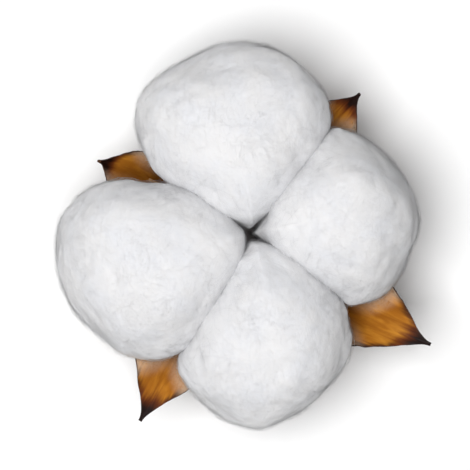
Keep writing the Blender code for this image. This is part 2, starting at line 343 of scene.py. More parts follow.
def plus(tree, first, second, times=1.0):
    """The first value and a share of the second."""
    if times != 1.0:
        second = calculate(tree, "MULTIPLY", second, times)
    return calculate(tree, "ADD", first, second)


def blend_colour(tree, share, first, second):
    """Goes from the first colour to the second with the share."""
    made = add_node(tree, "ShaderNodeMix", data_type="RGBA")
    feed(tree, made.inputs[0], share)
    for index, colour in ((6, first), (7, second)):
        feed(tree, made.inputs[index], (*colour, 1.0) if isinstance(colour, tuple) else colour)
    return made.outputs[2]


def stretched(tree, vector, scale):
    inputs = {"Vector": vector, "Scale": scale}
    return add_node(tree, "ShaderNodeMapping", inputs).outputs["Vector"]


def bump(tree, shader, height, strength, distance):
    inputs = {"Height": height, "Strength": strength, "Distance": distance}
    made = add_node(tree, "ShaderNodeBump", inputs)
    tree.links.new(made.outputs["Normal"], shader.inputs["Normal"])


# Materials. Patterns are drawn in the attributes "grain" and "place", which are in mm.

def cotton_material():
    """White fibre: soft light inside, faint colour differences, and fine hairs in swirling strands."""
    made, tree, shader = new_material(
        "cotton",
        Roughness=0.95,
        Specular_IOR_Level=0.15,
        Subsurface_Weight=0.35,
        Subsurface_Radius=(1.0, 0.95, 0.9),
        Subsurface_Scale=1.6 * MM,
        Sheen_Weight=0.25,
        Sheen_Roughness=0.6,
    )
    grain = attribute(tree, "grain", "Vector")
    tint = noise_value(tree, grain, scale=0.16, detail=3.0)
    colour = blend_colour(tree, ramp(tree, tint, 0.35, 0.7), COTTON_WHITE, COTTON_COOL)
    # Painted shade greys the cotton along the seams; next to the bur it is browner, partly from a real stain
    # and partly from painted warm light bounced off the bur.
    colour = blend_colour(tree, attribute(tree, "shade"), colour, COTTON_IN_SHADE)
    colour = blend_colour(tree, attribute(tree, "stain_and_bounce"), colour, COTTON_TAN)
    tree.links.new(colour, shader.inputs["Base Color"])
    warp = add_node(tree, "ShaderNodeTexNoise", {"Vector": grain, "Scale": 0.13, "Detail": 2.0})
    pushed = add_node(tree, "ShaderNodeVectorMath", operation="MULTIPLY_ADD")
    for socket, value in zip(pushed.inputs, (warp.outputs["Color"], (9.0, 9.0, 9.0), grain)):
        feed(tree, socket, value)
    swirls = pushed.outputs["Vector"]
    drawn_out = stretched(tree, swirls, (0.22, 1.0, 1.0))
    strands = noise_value(tree, drawn_out, scale=3.2, detail=5.0, roughness=0.6)
    clumps = noise_value(tree, swirls, scale=0.8, detail=3.0)
    bump(tree, shader, plus(tree, clumps, strands, 0.5), 0.3, 0.22 * MM)
    return made


def fibre_material(name, colour):
    made, _, _ = new_material(name, Base_Color=(*colour, 1.0), Roughness=0.9, Specular_IOR_Level=0.1)
    return made


def bur_inside_material():
    """The satin inner face: golden brown, veined along the valve, dark brown at its margins and point."""
    made, tree, shader = new_material("bur_inside", Specular_IOR_Level=0.07)
    place = attribute(tree, "place", "Vector")
    veins = noise_value(tree, stretched(tree, place, (1.1, 0.15, 1.0)), roughness=0.5, distortion=0.5)
    patches = noise_value(tree, stretched(tree, place, (0.32, 0.14, 1.0)), detail=3.0)
    colour = blend_colour(tree, ramp(tree, patches, 0.34, 0.68), INNER_BROWN, INNER_GOLD)
    colour = blend_colour(tree, ramp(tree, veins, 0.66, 0.30), colour, INNER_VEIN)
    uneven = calculate(tree, "MULTIPLY", calculate(tree, "SUBTRACT", veins, 0.5), 2.4)
    inside = plus(tree, attribute(tree, "from_edge"), uneven)
    colour = blend_colour(tree, ramp(tree, inside, -0.1, 1.5), INNER_MARGIN, colour)
    point = plus(tree, attribute(tree, "to_point"), uneven, 1.5)
    colour = blend_colour(tree, ramp(tree, point, 3.4, 6.2), INNER_RUST, colour)
    colour = blend_colour(tree, ramp(tree, point, 2.2, 4.6), INNER_POINT, colour)
    tangle = noise_value(tree, place, scale=1.3, roughness=0.65, distortion=1.5)
    lint = calculate(tree, "MULTIPLY", attribute(tree, "lint"), ramp(tree, tangle, 0.05, 0.60))
    colour = blend_colour(tree, lint, colour, COTTON_TAN)
    colour = blend_colour(tree, attribute(tree, "down"), colour, DOWN_WHITE)
    tree.links.new(colour, shader.inputs["Base Color"])
    fine = noise_value(tree, stretched(tree, place, (6.0, 0.6, 1.0)))
    bump(tree, shader, plus(tree, veins, fine, 0.3), 0.35, 0.25 * MM)
    rough = add_node(tree, "ShaderNodeMapRange", {"Value": veins, "To Min": 0.34, "To Max": 0.55})
    tree.links.new(rough.outputs["Result"], shader.inputs["Roughness"])
    return made


def web_material():
    """The thin walls between the locks: pale and papery, like dried skin."""
    made, tree, shader = new_material("bur_web", Roughness=0.6, Specular_IOR_Level=0.25)
    place = attribute(tree, "place", "Vector")
    veins = noise_value(tree, stretched(tree, place, (0.9, 0.3, 1.0)), detail=5.0)
    colour = blend_colour(tree, ramp(tree, veins, 0.35, 0.65), WEB_BROWN, WEB_PALE)
    colour = blend_colour(tree, attribute(tree, "down"), colour, DOWN_WHITE)
    tree.links.new(colour, shader.inputs["Base Color"])
    bump(tree, shader, veins, 0.5, 0.2 * MM)
    return made


def bur_outside_material():
    """The weathered outer face: dark brown, wrinkled along the valve and dotted with glands."""
    made, tree, shader = new_material("bur_outside", Roughness=0.7, Specular_IOR_Level=0.3)
    place = attribute(tree, "place", "Vector")
    along = stretched(tree, place, (1.5, 0.18, 1.0))
    ridges = noise_value(tree, along, detail=5.0, roughness=0.6, distortion=0.4)
    mottle = noise_value(tree, place, scale=0.35)
    colour = blend_colour(tree, ramp(tree, ridges, 0.32, 0.7), OUTER_FURROW, OUTER_RIDGE)
    colour = blend_colour(tree, ramp(tree, mottle, 0.45, 0.72), colour, OUTER_MOTTLE)
    dots = add_node(tree, "ShaderNodeTexVoronoi", {"Vector": place, "Scale": 0.9})
    dot = ramp(tree, dots.outputs["Distance"], 0.10, 0.26)
    colour = blend_colour(tree, dot, OUTER_GLAND, colour)
    colour = blend_colour(tree, ramp(tree, attribute(tree, "reach"), 0.78, 1.0), colour, OUTER_POINT)
    tree.links.new(colour, shader.inputs["Base Color"])
    bump(tree, shader, plus(tree, ridges, dot, 0.35), 0.8, 0.3 * MM)
    return made


def bur_edge_material():
    made, tree, shader = new_material("bur_edge", Roughness=0.75, Specular_IOR_Level=0.15)
    patches = noise_value(tree, attribute(tree, "place", "Vector"), scale=0.8)
    colour = blend_colour(tree, ramp(tree, patches, 0.35, 0.7), EDGE_DARK, EDGE_BROWN)
    tree.links.new(colour, shader.inputs["Base Color"])
    bump(tree, shader, patches, 0.6, 0.15 * MM)
    return made


def calyx_material():
    """Dry leaf-like cup: greyish brown with darker veins that run outwards, and flecks."""
    made, tree, shader = new_material("calyx", Roughness=0.8, Specular_IOR_Level=0.25)
    place = attribute(tree, "place", "Vector")
    outwards = stretched(tree, place, (1.6, 0.25, 1.0))
    veins = noise_value(tree, outwards, detail=5.0, roughness=0.6, distortion=0.5)
    flecks = noise_value(tree, place, scale=1.6)
    colour = blend_colour(tree, ramp(tree, veins, 0.32, 0.68), CALYX_DARK, CALYX_PALE)
    colour = blend_colour(tree, ramp(tree, flecks, 0.58, 0.72), colour, CALYX_FLECK)
    colour = blend_colour(tree, ramp(tree, attribute(tree, "margin"), 0.8, 1.0), colour, CALYX_MARGIN)
    tree.links.new(colour, shader.inputs["Base Color"])
    bump(tree, shader, plus(tree, veins, flecks, 0.4), 0.8, 0.3 * MM)
    return made


def stalk_material():
    """The cut end of the stalk: pale pith, rays of wood and a dark bark."""
    made, tree, shader = new_material("stalk_end", Roughness=0.85, Specular_IOR_Level=0.2)
    place = attribute(tree, "place", "Vector")
    reach = plus(tree, attribute(tree, "margin"), noise_value(tree, place, scale=1.1, detail=3.0), 0.12)
    rays = noise_value(tree, stretched(tree, place, (3.0, 0.5, 1.0)))
    wood = blend_colour(tree, ramp(tree, rays, 0.3, 0.7), WOOD_DARK, WOOD_PALE)
    colour = blend_colour(tree, ramp(tree, reach, 0.30, 0.36), PITH, wood)
    colour = blend_colour(tree, ramp(tree, reach, 0.88, 0.96), colour, BARK)
    tree.links.new(colour, shader.inputs["Base Color"])
    bump(tree, shader, rays, 0.7, 0.15 * MM)
    return made


# Pieces

def add_piece(obj, nodes):
    """Makes an object a piece of the boll that stands for these CAD nodes."""
    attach(obj, BODY)
    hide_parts(*nodes)
    return obj


def link(name, data):
    obj = bpy.data.objects.new(name, data)
    bpy.context.scene.collection.objects.link(obj)
    return obj


def object_from(bm, name):
    mesh = bpy.data.meshes.new(name)
    bm.to_mesh(mesh)
    bm.free()
    return link(name, mesh)


def apply_modifiers(obj):
    graph = bpy.context.evaluated_depsgraph_get()
    mesh = bpy.data.meshes.new_from_object(obj.evaluated_get(graph))
    obj.modifiers.clear()
    obj.data = mesh


def vectors_of(mesh, field):
    """Places ("co") or normals ("normal") of a mesh's vertices."""
    flat = np.empty(3 * len(mesh.vertices))
    mesh.vertices.foreach_get(field, flat)
    return flat.reshape(-1, 3)


def set_points(mesh, points):
    mesh.vertices.foreach_set("co", points.astype(np.float32).ravel())
    mesh.update()


def store(mesh, name, values):
    """Stores a number or a vector for each vertex under this name."""
    kind, field = ("FLOAT_VECTOR", "vector") if values.ndim == 2 else ("FLOAT", "value")
    mesh.attributes.new(name, kind, "POINT").data.foreach_set(field, values.astype(np.float32).ravel())


def tree_of(mesh, scale=(1.0, 1.0, 1.0)):
    points = vectors_of(mesh, "co") * scale
    return BVHTree.FromPolygons(points.tolist(), [p.vertices for p in mesh.polygons])


def distances(points, tree, farthest):
    """Distance of each place from a surface, cut off at the farthest."""
    found = np.full(len(points), farthest)
    for index, point in enumerate(points):
        nearest = tree.find_nearest(Vector(point), farthest)[3]
        if nearest is not None:
            found[index] = nearest
    return found


def leaned(points):
    moved = points.copy()
    moved[..., 0] += LEAN[0] * points[..., 2]
    moved[..., 1] += LEAN[1] * points[..., 2]
    return moved


def from_axis(points):
    """How far places lie from the boll's leaning axis in x and y."""
    return np.stack((points[:, 0] - LEAN[0] * points[:, 2], points[:, 1] - LEAN[1] * points[:, 2]), axis=-1)


# The bur

def slope_along(valve, s):
    climbed = RISE_SLOPE * smooth(0.0, RISE_LENGTH, s)
    return np.radians(mix(climbed, valve.tip_slope, smooth(valve.turn_at, valve.length, s)))


def middle_line(valve, s):
    """Distance from the axis, height and slope of a valve's middle line at the distances s along it."""
    steps = np.arange(0.0, valve.length + 2.0 * STEP, STEP)
    middles = slope_along(valve, steps[:-1] + STEP / 2.0)
    r = np.concatenate(([0.0], np.cumsum(np.cos(middles)) * STEP))
    z = BOWL_FLOOR + np.concatenate(([0.0], np.cumsum(np.sin(middles)) * STEP))
    return np.interp(s, steps, r), np.interp(s, steps, z), slope_along(valve, s)


def half_angle(index, side):
    here = VALVES[index].azimuth
    there = VALVES[(index + side) % len(VALVES)].azimuth
    return math.radians(((there - here) * side) % 360.0) / 2.0


def valve_points(index, s, across):
    """Points of a valve's inner face, for arrays of places along it and across it (-1 to 1).

    With them come the share of the free part that lies behind each, its distance from the middle line
    and the half width of the valve there.
    """
    valve = VALVES[index]
    side = np.where(across > 0.0, 1.0, -1.0)
    sector = np.where(across > 0.0, half_angle(index, 1), half_angle(index, -1))
    r, z, slope = middle_line(valve, s)
    share = np.clip((s - SPLIT_AT) / (valve.length - SPLIT_AT), 0.0, 1.0)
    r_split, _, slope_split = middle_line(valve, np.array(SPLIT_AT))
    free_half = np.where(across > 0.0, valve.half_widths[1], valve.half_widths[0])
    own = mix(r_split * sector, free_half, smooth(0.0, JOIN_SHARE, share))
    half = own * (1.0 - share**valve.fullness) ** POINT_DRAW
    half += mix(POINT_HALF, POINT_END, smooth(*POINT_TAPER, share))
    width = np.abs(across) * half
    angle = np.where(share > 0.0, width / r, np.abs(across) * sector)
    round_point = np.stack((r * np.cos(angle), r * np.sin(angle), z), axis=-1)
    fold = mix(r_split / math.sin(slope_split), POINT_FOLD, share)
    lift = fold * (1.0 - np.cos(width / fold)) + KEEL * share * width
    lift -= EDGE_CURL * smooth(0.0, CURL_SHARE, share) * (1.0 - share) * np.abs(across) ** EDGE_POWER
    boat_point = np.stack((
        r - np.sin(slope) * lift,
        fold * np.sin(width / fold),
        z + np.cos(slope) * lift,
    ), axis=-1)
    point = mix(round_point, boat_point, smooth(0.0, JOIN_SHARE, share)[..., None])
    turn = np.radians(valve.azimuth + valve.sweep * share * share)
    x, y = point[..., 0], point[..., 1] * side
    return np.stack((
        x * np.cos(turn) - y * np.sin(turn),
        x * np.sin(turn) + y * np.cos(turn),
        point[..., 2],
    ), axis=-1), share, width * side, half


def ragged_across(index, s, across):
    """Moves the places near a valve's edge in and out a little, so that the edge is uneven."""
    free = smooth(SPLIT_AT, RAGGED_FULL_AT, s) * smooth(RAGGED_FROM, 1.0, np.abs(across))
    moved = across.copy()
    for place in np.ndindex(across.shape):
        spot = Vector((s[place] / RAGGED_SIZE, 3.0 * index + math.copysign(1.0, across[place]), 0.0))
        moved[place] *= 1.0 + RAGGED * free[place] * (noise.fractal(spot, 0.8, 2.0, 3) - RAGGED_MEAN)
    return moved


def bur_grid(index):
    """Rows and columns of one valve with its sector of the bowl, as arrays of places and coordinates."""
    valve = VALVES[index]
    bowl = np.linspace(BOWL_HOLE, SPLIT_AT, BOWL_ROWS, endpoint=False)
    rows = np.concatenate((bowl, np.linspace(SPLIT_AT, valve.length, VALVE_ROWS)))
    columns = np.linspace(-1.0, 1.0, 2 * HALF_COLUMNS + 1)
    s, across = np.meshgrid(rows, columns, indexing="ij")
    points, share, width, half = valve_points(index, s, ragged_across(index, s, across))
    fade = smooth(SPLIT_AT, RELIEF_FULL_AT, s)
    for place in np.ndindex(s.shape):
        spot = Vector(points[place]) / WRINKLE_SIZE
        points[place][2] += WRINKLE * fade[place] * noise.noise(spot)
        vein = Vector((width[place] / VEIN_SIZE[0], s[place] / VEIN_SIZE[1], PATTERNS_APART * index))
        points[place][2] += VEIN * fade[place] * min(0.0, noise.noise(vein))
    edge = np.abs(across)
    from_edge = mix(FAR_FROM_EDGE, half * (1.0 - edge), smooth(0.0, FREE_SHARE, share))
    return points, s, share, width, edge, from_edge


def add_valve(bm, index):
    """Adds the inner face of a valve and its sector of the bowl, with what its colours go by."""
    place = bm.verts.layers.float_vector["place"]
    margin = bm.verts.layers.float["from_edge"]
    ahead = bm.verts.layers.float["to_point"]
    reach = bm.verts.layers.float["reach"]
    wall = bm.verts.layers.deform.verify()
    points, s, share, width, edge, from_edge = bur_grid(index)
    points = leaned(points)
    grid = {}
    for key in np.ndindex(s.shape):
        vertex = bm.verts.new(points[key])
        free = float(smooth(0.0, FREE_SHARE, share[key]))
        vertex[place] = (width[key] / MM, s[key] / MM, PATTERNS_APART * index)
        vertex[margin] = float(from_edge[key]) / MM
        vertex[ahead] = POINT_SCALE * (1.0 - float(share[key]))
        vertex[reach] = float(share[key])
        vertex[wall][0] = 1.0 - (1.0 - PAPER_SHARE) * free * float(smooth(PAPER_FROM, 1.0, edge[key]))
        grid[key] = vertex
    for i in range(s.shape[0] - 1):
        for j in range(s.shape[1] - 1):
            bm.faces.new((grid[i, j], grid[i, j + 1], grid[i + 1, j + 1], grid[i + 1, j]))


def make_bur():
    """The bur as one shell: thick in the bowl, papery at the edges and points of its valves."""
    bm = bmesh.new()
    bm.verts.layers.float_vector.new("place")
    for name in ("from_edge", "to_point", "reach"):
        bm.verts.layers.float.new(name)
    for index in range(len(VALVES)):
        add_valve(bm, index)
    bmesh.ops.remove_doubles(bm, verts=bm.verts, dist=WELD)
    rim = [e for e in bm.edges if e.is_boundary and all(v.co.xy.length < RIM_REACH for v in e.verts)]
    bmesh.ops.holes_fill(bm, edges=rim, sides=0)
    bmesh.ops.recalc_face_normals(bm, faces=bm.faces)
    if sum(face.normal.z for face in bm.faces) < 0.0:
        bmesh.ops.reverse_faces(bm, faces=bm.faces)
    obj = object_from(bm, "bur_shell")
    obj.vertex_groups.new(name="wall")
    for made in (bur_inside_material(), bur_outside_material(), bur_edge_material()):
        obj.data.materials.append(made)
    solid = obj.modifiers.new("wall", "SOLIDIFY")
    solid.thickness = BUR_WALL
    solid.offset = -1.0
    solid.vertex_group = "wall"
    solid.use_even_offset = True
    solid.material_offset = 1
    solid.material_offset_rim = 2
    apply_modifiers(obj)
    wrinkle_outside(obj.data)
    return add_bur_piece(obj)


def wrinkle_outside(mesh):
    """Cuts furrows that run along the valves into the outer face of the bur."""
    outer = {v for p in mesh.polygons if p.material_index == 1 for v in p.vertices}
    points, normals = vectors_of(mesh, "co"), vectors_of(mesh, "normal")
    places = mesh.attributes["place"].data
    for index in outer:
        x, y, z = places[index].vector
        height = noise.fractal(Vector((x * RIDGE_GRAIN[0], y * RIDGE_GRAIN[1], z)), 0.7, 2.0, 4)
        points[index] += normals[index] * RIDGE * min(0.0, height)
    set_points(mesh, points)


def make_webs():
    """The thin walls that stood between the locks: one on each valve's middle line."""
    bm = bmesh.new()
    place = bm.verts.layers.float_vector.new("place")
    share = np.linspace(0.0, 1.0, WEB_STEPS + 1)
    for index, valve in enumerate(VALVES):
        s = np.linspace(WEB_INNER, WEB_END_SHARE * valve.length, WEB_STEPS + 1)
        r, z, _ = middle_line(valve, s)
        rise = smooth(0.0, WEB_SLOPE_SHARE, 1.0 - share) * smooth(WEB_INNER, WEB_SHOULDER, r)
        floor = mix(BOWL_FLOOR + WEB_SHOULDER, z[-1], share)
        sunk = BUR_WALL * smooth(WEB_SINK_FROM, 1.0, share)
        top = np.maximum(mix(floor, WEB_TOP, rise), z) - sunk
        turn = math.radians(valve.azimuth)
        grid = {}
        for i in range(WEB_STEPS + 1):
            for j in range(WEB_ROWS + 1):
                height = mix(z[i] - 0.5 * BUR_WALL, top[i], j / WEB_ROWS)
                spot = Vector((r[i] * math.cos(turn), r[i] * math.sin(turn), height))
                grid[i, j] = bm.verts.new(leaned(np.array(spot)))
                grid[i, j][place] = (height / MM, s[i] / MM, PATTERNS_APART * index)
        for i in range(WEB_STEPS):
            for j in range(WEB_ROWS):
                bm.faces.new((grid[i, j], grid[i + 1, j], grid[i + 1, j + 1], grid[i, j + 1]))
    obj = object_from(bm, "bur_webs")
    obj.data.materials.append(web_material())
    solid = obj.modifiers.new("wall", "SOLIDIFY")
    solid.thickness = WEB_WALL
    solid.offset = 0.0
    apply_modifiers(obj)
    return add_bur_piece(obj)


def add_bur_piece(obj):
    """Marks where white down clings round the boll's axis, and makes the object a piece of the bur."""
    axis = np.linalg.norm(from_axis(vectors_of(obj.data, "co")), axis=1)
    store(obj.data, "down", DOWN * (1.0 - smooth(*DOWN_REACH, axis)))
    obj.data.shade_smooth()
    obj.data.set_sharp_from_angle(angle=math.radians(BUR_SHARP_ANGLE))
    return add_piece(obj, ["bur"])


# The calyx

def calyx_section(reach):
    """Section of the calyx out of its middle, round its edge and back along the underside.

    Returns the upper face, the underside and the height of the upper face in the middle.
    """
    share = np.linspace(0.0, 1.0, CALYX_ROWS + 1)
    r, z, slope = middle_line(VALVES[0], reach * share)
    near = BUR_WALL + TOUCH_GAP
    far = near + mix(CALYX_WALL, CALYX_EDGE_WALL, share)
    inner = np.stack((r + np.sin(slope) * near, z - np.cos(slope) * near), axis=-1)
    outer = np.stack((r + np.sin(slope) * far, z - np.cos(slope) * far), axis=-1)
    under = outer[:CALYX_ROWS // 2:-1]
    side = STALK_GROOVE / 4.0
    rest = np.array([
        (mix(under[-1][0], REST_RADIUS, 0.5), mix(under[-1][1], 0.0, 0.7)),
        (REST_RADIUS, 0.0),
        (0.5 * (REST_RADIUS + STALK_RADIUS + STALK_GROOVE), 0.0),
        (STALK_RADIUS + STALK_GROOVE, 0.0),
        (STALK_RADIUS + STALK_GROOVE - side, GROOVE_DEPTH),
        (STALK_RADIUS + side, GROOVE_DEPTH),
        (STALK_RADIUS, 0.0),
        (0.66 * STALK_RADIUS, 0.0),
        (0.33 * STALK_RADIUS, 0.0),
    ])
    return inner[1:], np.concatenate((under, rest)), inner[0][1]


def make_calyx():
    """The calyx with its five teeth, and the cut end of the stalk in the middle of its underside."""
    bm = bmesh.new()
    place = bm.verts.layers.float_vector.new("place")
    margin = bm.verts.layers.float.new("margin")
    rings = []
    for step in range(CALYX_STEPS):
        turn = 2.0 * math.pi * step / CALYX_STEPS
        tooth = abs(math.cos(0.5 * CALYX_TEETH * turn)) ** TOOTH_POWER
        spot = Vector((CALYX_RAGGED_TURN * math.cos(turn), CALYX_RAGGED_TURN * math.sin(turn), 1.0))
        reach = CALYX_REACH + CALYX_TOOTH * tooth + CALYX_RAGGED * noise.noise(spot)
        inner, outer, top = calyx_section(reach)
        ring = []
        for k, (r, z) in enumerate(np.concatenate((inner, outer))):
            vertex = bm.verts.new(leaned(np.array((r * math.cos(turn), r * math.sin(turn), z))))
            on_stalk = r <= STALK_RADIUS + 1e-6 and k > CALYX_ROWS
            vertex[place] = (math.degrees(turn) / CALYX_DEGREES_PER_MM, r / MM, CALYX_PATTERN_AT)
            vertex[margin] = r / STALK_RADIUS if on_stalk else r / reach
            ring.append(vertex)
        rings.append(ring)
    middle_top = bm.verts.new(leaned(np.array((0.0, 0.0, top))))
    middle_end = bm.verts.new((0.0, 0.0, 0.0))
    stalk_from = len(rings[0]) - STALK_FACES
    for step, ring in enumerate(rings):
        after = rings[(step + 1) % CALYX_STEPS]
        for k in range(len(ring) - 1):
            face = bm.faces.new((ring[k], ring[k + 1], after[k + 1], after[k]))
            face.material_index = 1 if k >= stalk_from else 0
        bm.faces.new((middle_top, ring[0], after[0]))
        bm.faces.new((middle_end, after[-1], ring[-1])).material_index = 1
    bmesh.ops.recalc_face_normals(bm, faces=bm.faces)
    obj = object_from(bm, "calyx_cup")
    obj.data.materials.append(calyx_material())
    obj.data.materials.append(stalk_material())
    obj.data.shade_smooth()
    obj.data.set_sharp_from_angle(angle=math.radians(CALYX_SHARP_ANGLE))
    return add_piece(obj, ["calyx"])


# The cotton

def lock_frame(points):
    """Middle of a lock, and its directions outwards from the boll's axis and across."""
    middle = (points.min(axis=0) + points.max(axis=0)) / 2.0
    outward = np.array((middle[0], middle[1], 0.0))
    outward /= np.linalg.norm(outward)
    return middle, outward, np.array((-outward[1], outward[0], 0.0))


def seam_distance(points):
    """Distances of places from the upright planes through the valves, where the locks meet."""
    x, y = from_axis(points).T
    nearest = np.full(len(points), np.inf)
    for valve in VALVES:
        turn = math.radians(valve.azimuth)
        aside = np.abs(y * math.cos(turn) - x * math.sin(turn))
        ahead = x * math.cos(turn) + y * math.sin(turn) > 0.0
        nearest = np.where(ahead, np.minimum(nearest, aside), nearest)
    return nearest


def seam_shade(points):
    """How much less light places have near the seams between the locks, from 0 to 1."""
    return SHADE * (1.0 - smooth(0.0, SHADE_WIDTH, seam_distance(points)))


def bur_stain_and_bounce(points, flat_bur):
    """How brown places on the cotton are next to the bur, from 0 to 1: partly a real stain and partly painted
    warm light bounced off the bur.

    Heights are scaled down in the flat bur, so that the brown reaches higher than wide.
    """
    away = distances(points * (1.0, 1.0, STAIN_AND_BOUNCE_FLATTEN), flat_bur, STAIN_AND_BOUNCE_WIDTH)
    return STAIN_AND_BOUNCE * (1.0 - smooth(0.0, STAIN_AND_BOUNCE_WIDTH, away))


def fluff(mesh, seed):
    """Swells a lock a little and gives it tufts, soft puffs and fine wisps."""
    points, normals = vectors_of(mesh, "co"), vectors_of(mesh, "normal")
    offset = Vector(SEED_SHIFT) * seed
    seam, outward = seam_distance(points), from_axis(points)
    axis = np.linalg.norm(outward, axis=1)
    heights = SWELL + SEAM_SWELL * (1.0 - smooth(0.0, SEAM_WIDTH, seam)) * smooth(*SEAM_REACH, axis)
    valleys = VALLEY * np.maximum(0.0, 1.0 - seam / VALLEY_WIDTH) ** 2 * smooth(*VALLEY_HEIGHTS, points[:, 2])
    for index, point in enumerate(points):
        spot = Vector(point)
        drift = noise.noise_vector(spot / PUFF_SIZE + offset)
        first, second = noise.voronoi(spot / TUFT_SIZE + TUFT_DRIFT * drift + offset)[0][:2]
        tuft = smooth(0.0, TUFT_EDGE, second - first) - 1.0
        puff = noise.noise(spot / PUFF_SIZE + offset)
        wisp = noise.fractal(spot / WISP_SIZE + WISP_DRIFT * drift, 0.9, 2.1, 3)
        heights[index] += TUFT * tuft + PUFF * min(puff, PUFF_TOP) + WISP * wisp
    points += normals * heights[:, None]
    points[:, 2] -= valleys
    plug = PLUG * (1.0 - smooth(*PLUG_REACH, axis)) * (1.0 - smooth(*PLUG_HEIGHTS, points[:, 2]))
    points[:, :2] -= outward / axis[:, None] * plug[:, None]
    set_points(mesh, points)


def make_lock(node, seed, material, flat_bur):
    """A lock of cotton, fluffed up from its CAD solid."""
    obj = link(node + "_cotton", frame["nodes"][node].data.copy())
    obj.data.materials.clear()
    remesh = obj.modifiers.new("remesh", "REMESH")
    remesh.mode = "VOXEL"
    remesh.voxel_size = VOXEL
    relax = obj.modifiers.new("relax", "SMOOTH")
    relax.factor = SMOOTH_FACTOR
    relax.iterations = SMOOTH_STEPS
    apply_modifiers(obj)
    mesh = obj.data
    fluff(mesh, seed)
    points = vectors_of(mesh, "co")
    middle, outward, across = lock_frame(points)
    local = (points - middle) / MM
    grain = np.stack((local @ outward, local @ across, local[:, 2] + GRAIN_APART * seed), axis=-1)
    store(mesh, "grain", grain)
    # Browner next to the bur: partly a real stain, partly painted bounce light. Greyer along the seams:
    # painted shade.
    store(mesh, "stain_and_bounce", bur_stain_and_bounce(points, flat_bur))
    store(mesh, "shade", seam_shade(points))
    mesh.materials.append(material)
    mesh.shade_smooth()
    return add_piece(obj, [node])


def surface_samples(mesh, count, draw):
    """Places spread evenly over a mesh, with the normals there."""
    mesh.calc_loop_triangles()
    corners = np.empty(3 * len(mesh.loop_triangles), dtype=np.int64)
    mesh.loop_triangles.foreach_get("vertices", corners)
    a, b, c = vectors_of(mesh, "co")[corners.reshape(-1, 3)].transpose(1, 0, 2)
    cross = np.cross(b - a, c - a)
    area = np.linalg.norm(cross, axis=1)
    chosen = draw.choice(len(area), size=count, p=area / area.sum())
    u, v = draw.random((2, count))
    flip = u + v > 1.0
    u[flip], v[flip] = 1.0 - u[flip], 1.0 - v[flip]
    spots = a[chosen] + u[:, None] * (b - a)[chosen] + v[:, None] * (c - a)[chosen]
    return spots, cross[chosen] / area[chosen][:, None]


def exposed(spots, normals, trees):
    """Which of the places have open air over them."""
    keep = np.ones(len(spots), dtype=bool)
    for index, (spot, normal) in enumerate(zip(spots, normals)):
        start = Vector(spot + normal * AIR_FROM)
        keep[index] = all(tree.ray_cast(start, Vector(normal), AIR_TO)[0] is None for tree in trees)
    return keep


def fibre_paths(spots, normals, tree, draw):
    """Curved paths of loose fibres that lie over the cotton, some with an end in the air.

    Each is drawn on the plane that touches the cotton at its root and then laid on the cotton.
    Returns the paths and the directions that the cotton under them faces.
    """
    count = len(spots)
    swirl = np.array([noise.noise_vector(Vector(spot) / SWIRL_SIZE) for spot in spots])
    swirl += FIBRE_STRAY * draw.normal(size=(count, 3))
    along = unit(swirl - (swirl * normals).sum(axis=1, keepdims=True) * normals)
    across = np.cross(normals, along)
    length = draw.uniform(*FIBRE_LENGTH, count)
    lift = mix(*FIBRE_LIFT, draw.random(count) ** 3)
    free = draw.random(count) ** 2
    bend = draw.normal(size=count) * FIBRE_BEND
    phase = draw.random(count) * 2.0 * math.pi
    turns = draw.uniform(*FIBRE_TURNS, count) * 2.0 * math.pi
    t = np.linspace(0.0, 1.0, FIBRE_POINTS)[None, :]
    wave = np.sin(turns[:, None] * t + phase[:, None]) - np.sin(phase)[:, None]
    sideways = length[:, None] * (bend[:, None] * t * t + FIBRE_WAVE * wave)
    flat = (
        spots[:, None, :]
        + along[:, None, :] * (length[:, None] * t)[..., None]
        + across[:, None, :] * sideways[..., None]
    )
    arch = mix(4.0 * t * (1.0 - t), t**1.5, free[:, None])
    height = lift[:, None] * arch - FIBRE_ROOT * (1.0 - t)
    laid = np.array([tree.find_nearest(Vector(point))[:2] for point in flat.reshape(-1, 3)])
    under = laid[:, 0].reshape(flat.shape)
    facing = laid[:, 1].reshape(flat.shape)
    return under + facing * height[..., None], facing


